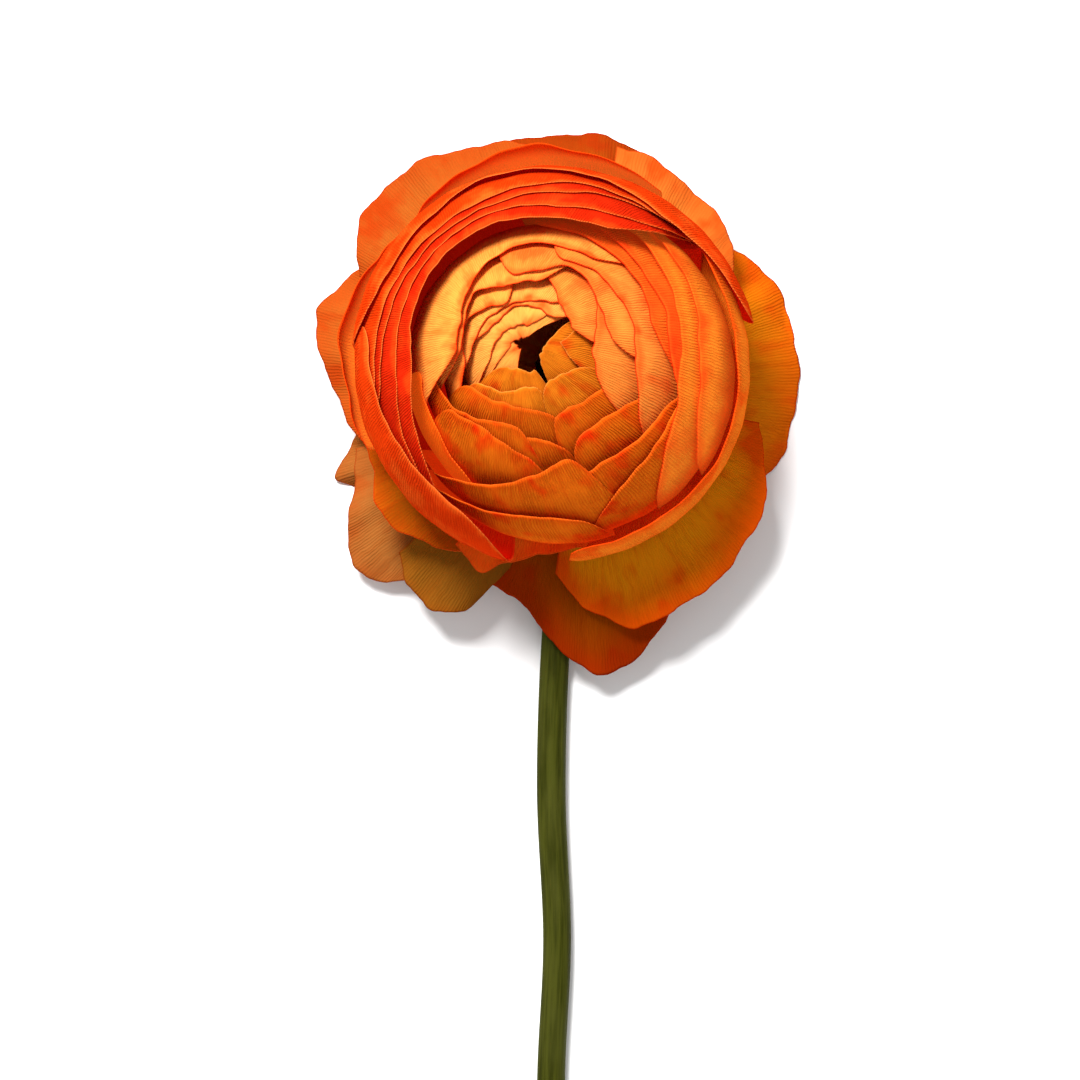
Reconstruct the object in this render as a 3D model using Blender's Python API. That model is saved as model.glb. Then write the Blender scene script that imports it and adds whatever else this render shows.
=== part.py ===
"""A cut ranunculus flower lying on its back, its bloom facing up and its stem along -Y.

Closed petals wrap the ball of the bloom in nested shells, one shell to a petal, and
open petals spread under it. Every petal grows by a narrow claw from the receptacle,
which is the swollen end of the stem. Lengths are in millimetres until a mesh is made.
"""

import math

import bmesh
import bpy
import numpy as np
from mathutils import Vector

for old in list(bpy.data.objects):
    bpy.data.objects.remove(old, do_unlink=True)

MM = 0.001

# Where the middle of the bloom stands over the floor, and how its axis leans
EYE_X = -4.7
EYE_Y = 82.0
EYE_HEIGHT = 55.0
LEAN_X = -0.23
LEAN_Y = 0.165

# The outermost shell of the ball, and the steps from each shell to the next one inside
BALL_RADIUS = 33.7
BALL_WAIST = 36.0
BALL_TOP = 69.2
BALL_FOOT = 21.5
RADIUS_STEP = 0.57
WAIST_STEP = 0.2
TOP_STEP = 0.34
FOOT_STEP = 0.36

# The ball sits low and to the right in the ring, which leaves a gap on its upper left
BALL_TUCK = 1.3

PETAL_THICKNESS = 0.14
GUARD_THICKNESS = 0.3
SEPAL_THICKNESS = 0.6
SEAT_GAP = 0.3

# How finely closed petals are divided, and the feet of the open petals
COLUMN_STEP = 13.0
FLARE_START = math.radians(68.0)
FLARE_END = math.radians(99.0)
WAIST_TURN = math.radians(80.0)
GUARD_FOOT = 18.2
GUARD_FOOT_STEP = 0.85

STEM_RADIUS = 2.75
RECEPTACLE_FOOT = 12.0
RECEPTACLE_TOP = 34.0
RECEPTACLE_FOOT_RADIUS = 6.0
RECEPTACLE_TOP_RADIUS = 2.6

# Each closed petal: its shell, counted inwards, and its rim as (bearing, distance) from
# the eye of the bloom seen from above. Bearings run anticlockwise from +X, in degrees.
CLOSED_PETALS = {
    "outer_petal_3": (-4, [(-82, 37.4), (-70, 38.2), (-60, 38.8), (-44, 39.6), (-28, 40.0),
                           (-17, 39.6), (-6, 38.4), (8, 37.8), (24, 36.8), (36, 36.2)]),
    "ring_petal_1": (-7, [(8, 40.6), (18, 39.0), (28, 37.4), (46, 34.9), (62, 34.9),
                          (85, 34.3), (107, 33.6), (128, 31.4), (152, 30.6), (178, 32.0)]),
    "ring_petal_2": (-6, [(168, 30.7), (182, 30.6), (196, 30.4), (206, 30.3), (226, 30.9),
                          (246, 32.6), (258, 35.0)]),
    "ring_petal_3": (-5, [(38, 34.6), (52, 33.8), (64, 33.3), (76, 32.6), (88, 31.2),
                          (110, 29.4), (135, 28.7), (160, 28.9), (184, 29.6), (208, 31.4),
                          (220, 33.0)]),
    "ring_petal_4": (-4, [(44, 34.0), (60, 32.7), (80, 30.2), (100, 28.6), (120, 27.7),
                          (145, 27.4), (170, 27.7), (194, 28.8), (208, 31.0)]),
    "ring_petal_5": (-3, [(40, 31.6), (60, 29.2), (80, 27.3), (100, 27.0), (122, 26.3),
                          (148, 25.7), (172, 25.3), (192, 25.8), (212, 28.6), (224, 29.6),
                          (236, 31.6)]),
    "ring_petal_6": (-2, [(44, 27.6), (60, 25.9), (85, 24.9), (115, 24.6), (145, 23.9),
                          (175, 22.9), (188, 22.5), (202, 24.4), (214, 26.2), (228, 28.4),
                          (240, 31.0)]),
    "right_petal_1": (0, [(-36, 36.0), (-19, 32.5), (-6, 31.2), (4, 30.9), (25, 31.9),
                          (35, 31.3), (45, 31.8), (57, 32.5), (67, 34.0)]),
    "lower_petal_1": (1, [(226, 32.0), (240, 31.1), (255, 31.0), (270, 30.7), (285, 32.4),
                          (294, 34.6)]),
    "right_petal_2": (2, [(-51, 34.6), (-43, 32.2), (-32, 29.8), (-12, 27.6), (6, 27.5),
                          (25, 28.3), (45, 29.0), (62, 29.3), (74, 30.4)]),
    "lower_petal_2": (3, [(289, 34.4), (295, 32.0), (302, 30.2), (322, 28.6), (346, 28.8)]),
    "lower_petal_3": (4, [(219, 32.0), (226, 30.0), (236, 28.4), (247, 27.0), (263, 24.4),
                          (285, 20.8), (297, 21.4)]),
    "right_petal_3": (5, [(-20, 28.2), (-10, 26.2), (4, 25.3), (18, 25.7), (35, 25.2),
                          (50, 25.6), (66, 26.0), (80, 27.8)]),
    "lower_petal_4": (6, [(265, 30.4), (271, 28.8), (280, 26.8), (290, 25.6), (300, 24.1),
                          (314, 25.2), (331, 26.2), (349, 28.8)]),
    "right_petal_4": (7, [(-14, 26.4), (2, 24.0), (15, 22.5), (30, 23.5), (44, 23.3),
                          (62, 23.5), (80, 23.1), (98, 24.4)]),
    "lower_petal_5": (8, [(186, 20.8), (202, 22.0), (213, 22.4), (223, 23.6), (239, 25.8),
                          (250, 28.0)]),
    "left_petal_1": (9, [(40, 21.8), (56, 20.3), (82, 20.2), (103, 19.6), (122, 18.0),
                         (142, 16.0), (155, 14.6), (180, 14.0), (200, 15.6)]),
    "lower_petal_6": (10, [(209, 19.4), (222, 18.0), (237, 17.0), (252, 17.8), (268, 20.1),
                           (280, 23.4)]),
    "right_petal_5": (11, [(-42, 25.4), (-30, 22.4), (-11, 19.4), (4, 18.8), (19, 19.5),
                           (36, 18.5), (52, 19.0), (71, 17.6), (86, 19.0)]),
    "lower_petal_7": (12, [(288, 21.6), (298, 17.8), (314, 17.9), (330, 20.1), (342, 23.0)]),
    "right_petal_6": (13, [(-8, 16.6), (9, 14.5), (36, 14.7), (48, 16.2), (60, 17.0),
                           (72, 16.9), (84, 14.8), (102, 14.3), (116, 15.6)]),
    "lower_petal_8": (14, [(183, 20.4), (197, 18.8), (217, 18.1), (230, 16.4), (240, 14.9),
                           (258, 14.3), (272, 15.8)]),
    "lower_petal_9": (15, [(256, 17.2), (270, 16.0), (281, 17.2), (292, 19.8)]),
    "left_petal_2": (16, [(72, 12.6), (105, 12.9), (118, 13.2), (136, 15.6), (153, 13.8),
                          (178, 13.2), (198, 14.2)]),
    "right_petal_7": (17, [(-38, 15.6), (-20, 12.3), (0, 11.0), (14, 11.6), (40, 15.0),
                           (54, 17.6)]),
    "lower_petal_10": (18, [(280, 14.6), (291, 12.9), (301, 12.2), (327, 14.2), (340, 15.8),
                            (352, 18.8)]),
    "right_petal_8": (19, [(0, 11.4), (16, 9.6), (29, 8.4), (47, 8.8), (63, 10.4),
                           (77, 13.4), (88, 16.0)]),
    "lower_petal_11": (20, [(200, 14.4), (215, 12.7), (245, 11.0), (266, 10.7), (284, 12.0),
                            (298, 13.6)]),
    "left_petal_3": (21, [(106, 10.4), (120, 9.8), (141, 12.0), (153, 13.6), (174, 13.0),
                          (192, 12.9), (214, 14.8)]),
    "heart_petal_1": (21.5, [(276, 9.6), (286, 7.2), (300, 6.4), (319, 6.6), (334, 8.1),
                             (342, 9.9), (349, 12.4)]),
    "heart_petal_2": (23, [(202, 12.2), (224, 10.4), (245, 8.1), (260, 6.8), (276, 6.6),
                           (292, 8.6)]),
    "heart_petal_3": (24, [(50, 10.6), (63, 9.1), (90, 9.3), (121, 9.5), (148, 10.4),
                           (186, 11.4), (204, 13.2)]),
    "heart_petal_4": (25, [(-24, 8.8), (-6, 6.4), (17, 5.2), (26, 8.0), (33, 10.8)]),
    "heart_petal_5": (26, [(36, 8.8), (48, 7.0), (68, 7.2), (106, 8.8), (143, 8.5),
                           (160, 9.2), (178, 10.8)]),
    "heart_petal_6": (27, [(200, 8.8), (212, 6.3), (240, 4.8), (262, 4.8), (277, 3.8),
                           (288, 5.6), (298, 8.6)]),
    "heart_petal_7": (28, [(60, 7.6), (80, 5.8), (104, 5.6), (137, 6.7), (170, 8.0),
                           (190, 8.5), (214, 11.2)]),
    "heart_petal_8": (29, [(-72, 7.4), (-61, 3.4), (-35, 2.4), (5, 2.4), (22, 2.8),
                           (37, 5.4), (46, 9.0)]),
    "heart_petal_9": (30, [(66, 4.8), (79, 3.3), (112, 3.0), (140, 4.0), (160, 5.0),
                           (182, 5.3), (200, 6.6), (214, 9.2)]),
    "heart_petal_10": (31, [(148, 5.4), (162, 3.9), (182, 2.6), (206, 2.4), (222, 3.6),
                            (236, 5.4)]),
}

# Each flared petal: its shell and the outline to which it opens from the shell, as before
FLARED_PETALS = {
    "outer_petal_1": (-8.5, [(54, 38.0), (72, 38.9), (88, 38.8), (106, 37.4), (122, 34.8),
                            (134, 33.6)]),
    "outer_petal_2": (-9.0, [(140, 33.0), (147, 33.6), (154, 35.4), (164, 35.2), (177, 37.0),
                            (190, 35.6), (208, 34.6)]),
}

# Each open petal: its level, counted outwards, the height of its rim, how late it leaves
# the level of its claw, how far it arches up, and its outline from the eye as before.
OPEN_PETALS = {
    "inner_guard_1": (0, 25.0, 2.5, 1.5, [
        (248, 38.6), (257, 43.2), (262, 39.8), (271, 38.0), (282, 38.0), (296, 38.6),
        (312, 38.0)]),
    "inner_guard_2": (1.4, 22.0, 2.5, 0.8, [
        (208, 36.0), (216, 37.4), (223, 40.6), (231, 42.5), (243, 40.8), (256, 39.0),
        (268, 38.4)]),
    "guard_1": (3, 11.0, 2.2, 0.6, [
        (92, 39.6), (99, 40.6), (111, 41.1), (121, 42.3), (132, 42.2), (141, 41.6), (148, 39.6),
        (156, 36.0)]),
    "guard_2": (5, 0.13, 2.0, 1.0, [
        (50, 41.0), (56, 43.4), (64, 43.5), (75, 43.4), (84, 42.0), (92, 40.8), (104, 39.8)]),
    "guard_3": (3, 12.0, 2.2, 1.5, [
        (18, 40.0), (27, 42.7), (34, 43.6), (47, 43.3), (60, 43.2), (68, 42.4)]),
    "guard_4": (4, 0.12, 2.0, 2.5, [
        (-36, 46.0), (-26, 50.4), (-20, 51.3), (-8, 50.7), (4, 49.9), (14, 48.3), (22, 45.9),
        (30, 42.0)]),
    "guard_5": (2, 15.0, 2.0, 2.5, [
        (276, 41.0), (281, 49.0), (290, 55.4), (300, 55.7), (312, 55.0), (325, 53.0),
        (334, 49.0), (343, 44.4)]),
    "guard_6": (5, 8.0, 2.0, 1.8, [
        (256, 43.0), (266, 46.5), (271, 50.6), (276, 57.4), (281, 62.4), (288, 61.4),
        (295, 57.6), (304, 50.0)]),
    "guard_7": (3, 11.0, 2.0, 2.5, [
        (236, 45.0), (241, 50.0), (248, 52.1), (255, 50.8), (259, 45.8), (264, 40.0)]),
    "guard_8": (4.8, 5.0, 2.0, 0.9, [
        (208, 38.0), (218, 43.0), (224, 49.0), (230, 53.4), (237, 51.6), (244, 47.0),
        (250, 42.0)]),
    "guard_9": (5.6, 0.14, 2.0, 1.5, [
        (203, 36.0), (208, 40.0), (212, 44.4), (217, 42.0), (223, 38.0)]),
    "guard_10": (4, 8.0, 2.0, 0.8, [
        (150, 35.0), (160, 38.5), (168, 42.2), (174, 41.2), (184, 39.6), (194, 37.8),
        (206, 36.6), (214, 35.0)]),
}

SEPAL_BEARINGS = (20.0, 92.0, 164.0, 225.0, 308.0)
SEPAL_LENGTH = 21.0

# The stem's middle line from its cut end to its neck, from the eye, with heights
STEM_LINE = [(2.6, -206.0, 2.75), (2.9, -184.0, 2.8), (3.3, -160.0, 2.9), (3.4, -136.0, 3.0),
             (4.5, -111.0, 3.0), (3.4, -83.0, 2.95), (4.3, -54.0, 2.9), (6.6, -32.0, 3.0),
             (8.9, -19.0, 4.0), (9.8, -11.6, 6.2), (9.9, -8.2, 9.0)]


def clay(name, colour, roughness):
    """A plain material with no metal in it."""
    material = bpy.data.materials.new(name)
    material.use_nodes = True
    shader = material.node_tree.nodes["Principled BSDF"]
    shader.inputs["Base Color"].default_value = (*colour, 1.0)
    shader.inputs["Roughness"].default_value = roughness
    shader.inputs["Metallic"].default_value = 0.0
    return material


ORANGE = clay("petal_orange", (0.86, 0.22, 0.02), 0.55)
FLAME = clay("petal_flame", (0.80, 0.10, 0.01), 0.55)
OCHRE = clay("petal_ochre", (0.72, 0.25, 0.03), 0.6)
GREEN = clay("stem_green", (0.13, 0.17, 0.04), 0.6)
DARK = clay("carpel_dark", (0.03, 0.02, 0.01), 0.7)


def lean(height):
    """The axis of the bloom at a height."""
    rise = height - EYE_HEIGHT
    return LEAN_X * rise, LEAN_Y * rise


def receptacle_radius(height):
    """The receptacle narrows from its foot to its top along a soft curve."""
    share = (height - RECEPTACLE_FOOT) / (RECEPTACLE_TOP - RECEPTACLE_FOOT)
    share = min(max(share, 0.0), 1.0)
    swell = 1.1 * math.sin(math.pi * min(share * 1.4, 1.0))
    drop = RECEPTACLE_FOOT_RADIUS - RECEPTACLE_TOP_RADIUS
    return RECEPTACLE_FOOT_RADIUS - drop * share + swell * (1.0 - share)


def shell_radius(shell):
    """Shells from 0 inwards are the ball's, and stand a little clear of the ring's."""
    return BALL_RADIUS - RADIUS_STEP * shell - (BALL_TUCK if shell >= 0 else 0.0)


def shell_shift(shell, turn):
    """How far a ball shell lies to the right and down of the bloom's axis."""
    return BALL_TUCK * math.sqrt(0.5) * math.sin(turn) ** 3 if shell >= 0 else 0.0


def shell_point(shell, turn, side):
    """The point of a shell at a turn from its foot, 0, to its top, pi, on one side."""
    waist = BALL_WAIST + WAIST_STEP * shell
    end = BALL_TOP - TOP_STEP * shell if turn > math.pi / 2 else BALL_FOOT + FOOT_STEP * shell
    height = waist + abs(end - waist) * -math.cos(turn)
    axis_x, axis_y = lean(height)
    shift = shell_shift(shell, turn)
    out = shell_radius(shell) * math.sin(turn)
    return (axis_x + shift + out * math.cos(side), axis_y - shift + out * math.sin(side),
            height)


def rim_distance(rim, bearing):
    """The rim's distance at a bearing, on a smooth line through its points."""
    bearings = [point[0] for point in rim]
    distances = [point[1] for point in rim]
    if bearing <= bearings[0]:
        return distances[0] + (bearings[0] - bearing) * 0.25
    if bearing >= bearings[-1]:
        return distances[-1] + (bearing - bearings[-1]) * 0.25
    return float(np.interp(bearing, bearings, distances))


def near(bearing, middle):
    """The same bearing within half a turn of a middle one."""
    return middle + (bearing - middle + 180.0) % 360.0 - 180.0


def rim_turn(shell, rim, side):
    """How far up its shell a petal goes on one side, for the rim to be where it shows."""
    middle = 0.5 * (rim[0][0] + rim[-1][0])
    low = math.pi / 2
    high = math.radians(176.0)
    for _ in range(22):
        turn = 0.5 * (low + high)
        x, y, _height = shell_point(shell, turn, side)
        bearing = near(math.degrees(math.atan2(y, x)), middle)
        if math.hypot(x, y) > rim_distance(rim, bearing):
            low = turn
        else:
            high = turn
    return 0.5 * (low + high)


def shell_side(shell, bearing, distance):
    """The side of the shell's axis on which a point seen from above lies."""
    turn = math.radians(125.0)
    side = math.radians(bearing)
    for _ in range(12):
        height = shell_point(shell, turn, side)[2]
        axis_x, axis_y = lean(height)
        shift = shell_shift(shell, turn)
        x = distance * math.cos(math.radians(bearing)) - axis_x - shift
        y = distance * math.sin(math.radians(bearing)) - axis_y + shift
        side = math.atan2(y, x)
        turn = math.pi - math.asin(min(math.hypot(x, y) / shell_radius(shell), 1.0))
    return math.degrees(side)


def foot_turn(shell, side):
    """Where a shell meets the receptacle's flank."""
    turn = 0.2
    for _ in range(12):
        height = shell_point(shell, turn, side)[2]
        out = receptacle_radius(height) + SEAT_GAP + 0.5 * PETAL_THICKNESS
        turn = math.asin(min(out / shell_radius(shell), 1.0))
    return turn


def closed_petal_grid(shell, rim, below, above):
    """Rows of points from a closed petal's claw to its rim."""
    first = shell_side(shell, *rim[0])
    last = near(shell_side(shell, *rim[-1]), first + 90.0)
    middle = 0.5 * (first + last)
    spread = 0.5 * (last - first)
    claw = min(26.0, spread * 0.5)
    inside = [COLUMN_STEP * step for step in range(-20, 40)]
    sides = [first] + [side for side in inside if first + 3.0 < side < last - 3.0] + [last]
    rows = [[] for _ in range(below + above + 1)]
    for side in sides:
        share = (side - middle) / spread
        top = rim_turn(shell, rim, math.radians(side))
        start = foot_turn(shell, math.radians(middle + claw * share))
        for row in range(below + above + 1):
            if row < below:
                turn = start + (WAIST_TURN - start) * row / below
            else:
                turn = WAIST_TURN + (top - WAIST_TURN) * (row - below) / above
            grown = math.sin(min(turn / 1.45, 1.0) * math.pi / 2)
            width = claw + (spread - claw) * grown ** 1.5
            rows[row].append(shell_point(shell, turn, math.radians(middle + width * share)))
    return rows


def flared_petal_grid(shell, rim, across, along):
    """Rows of points of a petal that follows a shell to its waist, then opens outwards."""
    height = shell_point(shell, FLARE_END, 0.0)[2]
    axis_x, axis_y = lean(height)
    first = rim[0][0]
    last = rim[-1][0]
    rows = [[] for _ in range(along + 1)]
    for column in range(across + 1):
        bearing = first + (last - first) * column / across
        distance = rim_distance(rim, bearing)
        x = distance * math.cos(math.radians(bearing)) - axis_x
        y = distance * math.sin(math.radians(bearing)) - axis_y
        side = near(math.degrees(math.atan2(y, x)), bearing)
        extra = math.hypot(x, y) - shell_radius(shell) * math.sin(FLARE_END)
        extra = max(extra, 0.0)
        middle = 0.5 * (first + last)
        start = foot_turn(shell, math.radians(side))
        for row in range(along + 1):
            turn = start + (FLARE_END - start) * row / along
            opened = max((turn - FLARE_START) / (FLARE_END - FLARE_START), 0.0) ** 1.6
            grown = math.sin(min(turn / 1.45, 1.0) * math.pi / 2)
            angle = math.radians(middle + (side - middle) * (0.5 + 0.5 * grown ** 1.5))
            flare_x = extra * opened * math.cos(angle)
            flare_y = extra * opened * math.sin(angle)
            x, y, height = shell_point(shell, turn, angle)
            rows[row].append((x + flare_x, y + flare_y, height))
    return rows


def open_petal_grid(level, rim_height, lateness, arch, rim, across, along):
    """Rows of points from an open petal's claw to its outline."""
    foot = GUARD_FOOT - GUARD_FOOT_STEP * level
    axis_x, axis_y = lean(foot)
    out = receptacle_radius(foot) + SEAT_GAP + 0.5 * GUARD_THICKNESS
    ends = []
    for column in range(across + 1):
        bearing = rim[0][0] + (rim[-1][0] - rim[0][0]) * column / across
        distance = rim_distance(rim, bearing)
        x = distance * math.cos(math.radians(bearing)) - axis_x
        y = distance * math.sin(math.radians(bearing)) - axis_y
        ends.append((math.atan2(y, x), math.hypot(x, y)))
    middle = math.degrees(ends[across // 2][0])
    rows = [[] for _ in range(along + 1)]
    for side, reach in ends:
        side = near(math.degrees(side), middle)
        for row in range(along + 1):
            share = row / along
            distance = out + (reach - out) * share
            widened = math.sin(min(share * 1.5 + 0.12, 1.0) * math.pi / 2)
            angle = math.radians(middle + (side - middle) * widened)
            height = foot + (rim_height - foot) * share ** lateness
            height += arch * math.sin(math.pi * share)
            rows[row].append((axis_x + distance * math.cos(angle),
                              axis_y + distance * math.sin(angle), height))
    return rows


def sepal_grid(bearing, across, along):
    """Rows of points from a sepal's foot, under all petals, to its blunt tip."""
    foot = RECEPTACLE_FOOT + 0.4
    axis_x, axis_y = lean(foot)
    out = receptacle_radius(foot) + SEAT_GAP + 0.5 * SEPAL_THICKNESS
    rows = []
    for row in range(along + 1):
        share = row / along
        half_width = 3.2 + 3.4 * math.sin(math.pi * min(share * 0.95, 1.0)) - 1.6 * share ** 3
        points = []
        for column in range(across + 1):
            across_share = 2.0 * column / across - 1.0
            distance = out + (SEPAL_LENGTH - out) * share
            distance -= 3.6 * share ** 2 * across_share ** 2
            distance -= 0.7 * across_share ** 2 * (1.0 - share)
            sideways = half_width * across_share
            angle = math.radians(bearing)
            x = axis_x + distance * math.cos(angle) - sideways * math.sin(angle)
            y = axis_y + distance * math.sin(angle) + sideways * math.cos(angle)
            height = foot - 5.0 * share ** 1.2 + 0.9 * across_share ** 2 * share
            points.append((x, y, height))
        rows.append(points)
    return rows


def sheet(name, rows, thickness, material):
    """A thin closed petal made from rows of points, thickened to both sides."""
    mesh = bpy.data.meshes.new(name)
    form = bmesh.new()
    verts = []
    for row in rows:
        verts.append([form.verts.new(((EYE_X + x) * MM, (EYE_Y + y) * MM, z * MM))
                      for x, y, z in row])
    for lower, upper in zip(verts, verts[1:]):
        for column in range(len(lower) - 1):
            form.faces.new((lower[column], lower[column + 1], upper[column + 1], upper[column]))
    bmesh.ops.recalc_face_normals(form, faces=form.faces)
    for face in form.faces:
        face.smooth = True
    form.to_mesh(mesh)
    form.free()
    piece = bpy.data.objects.new(name, mesh)
    bpy.context.collection.objects.link(piece)
    mesh.materials.append(material)
    thicken = piece.modifiers.new("thickness", "SOLIDIFY")
    thicken.thickness = thickness * MM
    thicken.offset = 0.0
    return piece


def smooth_line(points, steps):
    """Points on a smooth line through the given ones."""
    ends = [2 * Vector(points[0]) - Vector(points[1])]
    ends += [Vector(point) for point in points]
    ends.append(2 * Vector(points[-1]) - Vector(points[-2]))
    line = []
    for before, start, stop, after in zip(ends, ends[1:], ends[2:], ends[3:]):
        for step in range(steps):
            t = step / steps
            line.append(0.5 * (2 * start + (stop - before) * t
                               + (2 * before - 5 * start + 4 * stop - after) * t ** 2
                               + (3 * start - before - 3 * stop + after) * t ** 3))
    line.append(Vector(points[-1]))
    return line


def stem(sides):
    """The stem and its receptacle as one solid, swept along the stem's middle line."""
    line = [(point, STEM_RADIUS) for point in smooth_line(STEM_LINE, 3)]
    neck = line[-1][0].z
    for share in (0.5, 1.0):
        height = neck + (RECEPTACLE_FOOT - 0.6 - neck) * share
        line.append((Vector((*lean(height), height)), STEM_RADIUS + 1.4 * share ** 2))
    for step in range(13):
        height = RECEPTACLE_FOOT + (RECEPTACLE_TOP - RECEPTACLE_FOOT) * step / 12
        line.append((Vector((*lean(height), height)), receptacle_radius(height)))
    form = bmesh.new()
    rings = []
    side_way = Vector((1, 0, 0))
    for index, (point, radius) in enumerate(line):
        ahead = line[min(index + 1, len(line) - 1)][0] - line[max(index - 1, 0)][0]
        ahead = ahead.normalized() if point.z < RECEPTACLE_FOOT - 1.0 else Vector((0, 0, 1))
        side_way = (side_way - ahead * side_way.dot(ahead)).normalized()
        up_way = ahead.cross(side_way)
        ring = []
        for corner in range(sides):
            angle = 2 * math.pi * corner / sides
            place = point + radius * (math.cos(angle) * side_way + math.sin(angle) * up_way)
            place += Vector((EYE_X, EYE_Y, 0.0))
            ring.append(form.verts.new(place * MM))
        rings.append(ring)
    for lower, upper in zip(rings, rings[1:]):
        for corner in range(sides):
            following = (corner + 1) % sides
            form.faces.new((lower[corner], lower[following], upper[following], upper[corner]))
    form.faces.new(list(reversed(rings[0])))
    form.faces.new(rings[-1])
    for face in form.faces:
        face.smooth = len(face.verts) == 4
    bmesh.ops.recalc_face_normals(form, faces=form.faces)
    mesh = bpy.data.meshes.new("stem")
    form.to_mesh(mesh)
    form.free()
    mesh.materials.append(GREEN)
    bpy.context.collection.objects.link(bpy.data.objects.new("stem", mesh))


def carpel_head():
    """The dark knob of carpels that stands on the receptacle."""
    height = RECEPTACLE_TOP + SEAT_GAP + 4.0
    axis_x, axis_y = lean(height)
    place = ((EYE_X + axis_x) * MM, (EYE_Y + axis_y) * MM, height * MM)
    bpy.ops.mesh.primitive_uv_sphere_add(segments=14, ring_count=10, radius=1.0, location=place)
    knob = bpy.context.object
    knob.name = "carpel_head"
    knob.scale = (3.4 * MM, 3.4 * MM, 4.0 * MM)
    bpy.ops.object.transform_apply(location=False, rotation=False, scale=True)
    bpy.ops.object.shade_smooth()
    knob.data.materials.append(DARK)


stem(12)
carpel_head()
for number, sepal_bearing in enumerate(SEPAL_BEARINGS, start=1):
    sheet(f"sepal_{number}", sepal_grid(sepal_bearing, 4, 5), SEPAL_THICKNESS, GREEN)
for petal, (shell_number, petal_rim) in CLOSED_PETALS.items():
    grid = closed_petal_grid(shell_number, petal_rim, 4, 5)
    sheet(petal, grid, PETAL_THICKNESS, FLAME if petal.startswith(("ring", "outer")) else ORANGE)
for petal, (shell_number, petal_rim) in FLARED_PETALS.items():
    sheet(petal, flared_petal_grid(shell_number, petal_rim, 8, 12), PETAL_THICKNESS, FLAME)
for petal, (*habit, petal_rim) in OPEN_PETALS.items():
    grid = open_petal_grid(*habit, petal_rim, 8, 7)
    sheet(petal, grid, GUARD_THICKNESS, FLAME if petal.startswith("inner") else OCHRE)
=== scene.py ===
"""A cut ranunculus lying on its back: its petals, stem and sepals with their looks.

The bloom is laid out in millimetres round its eye. Every petal starts as a flat grid that
is laid on its shell or its arch, waved along its rim and thickened.
"""

import math

import bmesh
import bpy
import numpy as np
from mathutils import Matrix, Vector


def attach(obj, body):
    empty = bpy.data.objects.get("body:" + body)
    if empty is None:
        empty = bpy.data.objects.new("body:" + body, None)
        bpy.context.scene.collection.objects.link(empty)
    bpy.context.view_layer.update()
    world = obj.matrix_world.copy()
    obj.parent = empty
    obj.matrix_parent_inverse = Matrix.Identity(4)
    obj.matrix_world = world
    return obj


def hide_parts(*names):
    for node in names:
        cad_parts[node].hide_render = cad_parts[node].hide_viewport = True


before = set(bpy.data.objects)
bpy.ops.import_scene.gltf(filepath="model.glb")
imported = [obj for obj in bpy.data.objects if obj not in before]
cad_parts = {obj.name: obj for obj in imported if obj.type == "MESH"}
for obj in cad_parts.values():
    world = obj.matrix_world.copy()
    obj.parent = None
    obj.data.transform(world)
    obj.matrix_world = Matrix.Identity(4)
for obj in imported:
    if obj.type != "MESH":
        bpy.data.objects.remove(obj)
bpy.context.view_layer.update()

# Lengths are in millimetres and bearings in degrees, unless a comment says otherwise.
MM = 0.001

# The eye of the bloom: its place and height, and how far the bloom's axis leans for each
# millimetre of height.
EYE_X = -4.7
EYE_Y = 82.0
EYE_HEIGHT = 55.0
LEAN_X = -0.23
LEAN_Y = 0.165

# Shell 0 of the ball, and how much each shell further in changes it. The ball's shells are
# narrower than the ring's by the tuck.
BALL_RADIUS = 33.7
BALL_WAIST = 36.0
BALL_TOP = 69.2
BALL_FOOT = 21.5
RADIUS_STEP = 0.57
WAIST_STEP = 0.2
TOP_STEP = 0.34
FOOT_STEP = 0.36
BALL_TUCK = 1.3

# The shells of the heart, from this one inwards, rise by a lift that comes in over a run of
# shells, and a little more with each shell.
HEART_SHELL = 9.0
HEART_LIFT = 2.0
HEART_LIFT_RUN = 6.0
HEART_LIFT_STEP = 0.08

PETAL_THICKNESS = 0.14
GUARD_THICKNESS = 0.3
SEPAL_THICKNESS = 0.6
SEAT_GAP = 0.3
GUARD_FOOT = 18.2
GUARD_FOOT_STEP = 0.85
FLARE_START = math.radians(68.0)
FLARE_END = math.radians(99.0)
CLAW_SIDE = 26.0
LOWEST_PETAL = 0.22

STEM_RADIUS = 2.75
STEM_SIDES = 40
STEM_STEPS = 14
NECK_RINGS = 8
NECK_GAP = 0.6
NECK_SPREAD = 1.4
RECEPTACLE_RINGS = 30
RECEPTACLE_FOOT = 12.0
RECEPTACLE_TOP = 34.0
RECEPTACLE_FOOT_RADIUS = 6.0
RECEPTACLE_TOP_RADIUS = 2.6
RECEPTACLE_SWELL = 1.1
KNOB_RADIUS = 3.4
KNOB_HALF_HEIGHT = 4.0

# The waves of each kind of rim, as (length, height).
CLOSED_RIM = ((13.0, 0.14), (6.1, 0.09), (2.9, 0.03), (1.5, 0.015))
FLARED_RIM = ((19.0, 0.5), (8.0, 0.25), (3.1, 0.06))
OPEN_RIM = ((17.0, 0.25), (8.0, 0.16), (3.7, 0.06), (1.9, 0.03))
OPEN_RUFFLE = ((23.0, 0.8), (11.0, 0.35), (5.3, 0.06))

# How many faces a petal's grid has along it and across it.
CLOSED_GRID = (56, 64)
OPEN_GRID = (80, 80)
SEPAL_GRID = (24, 30)

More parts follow.
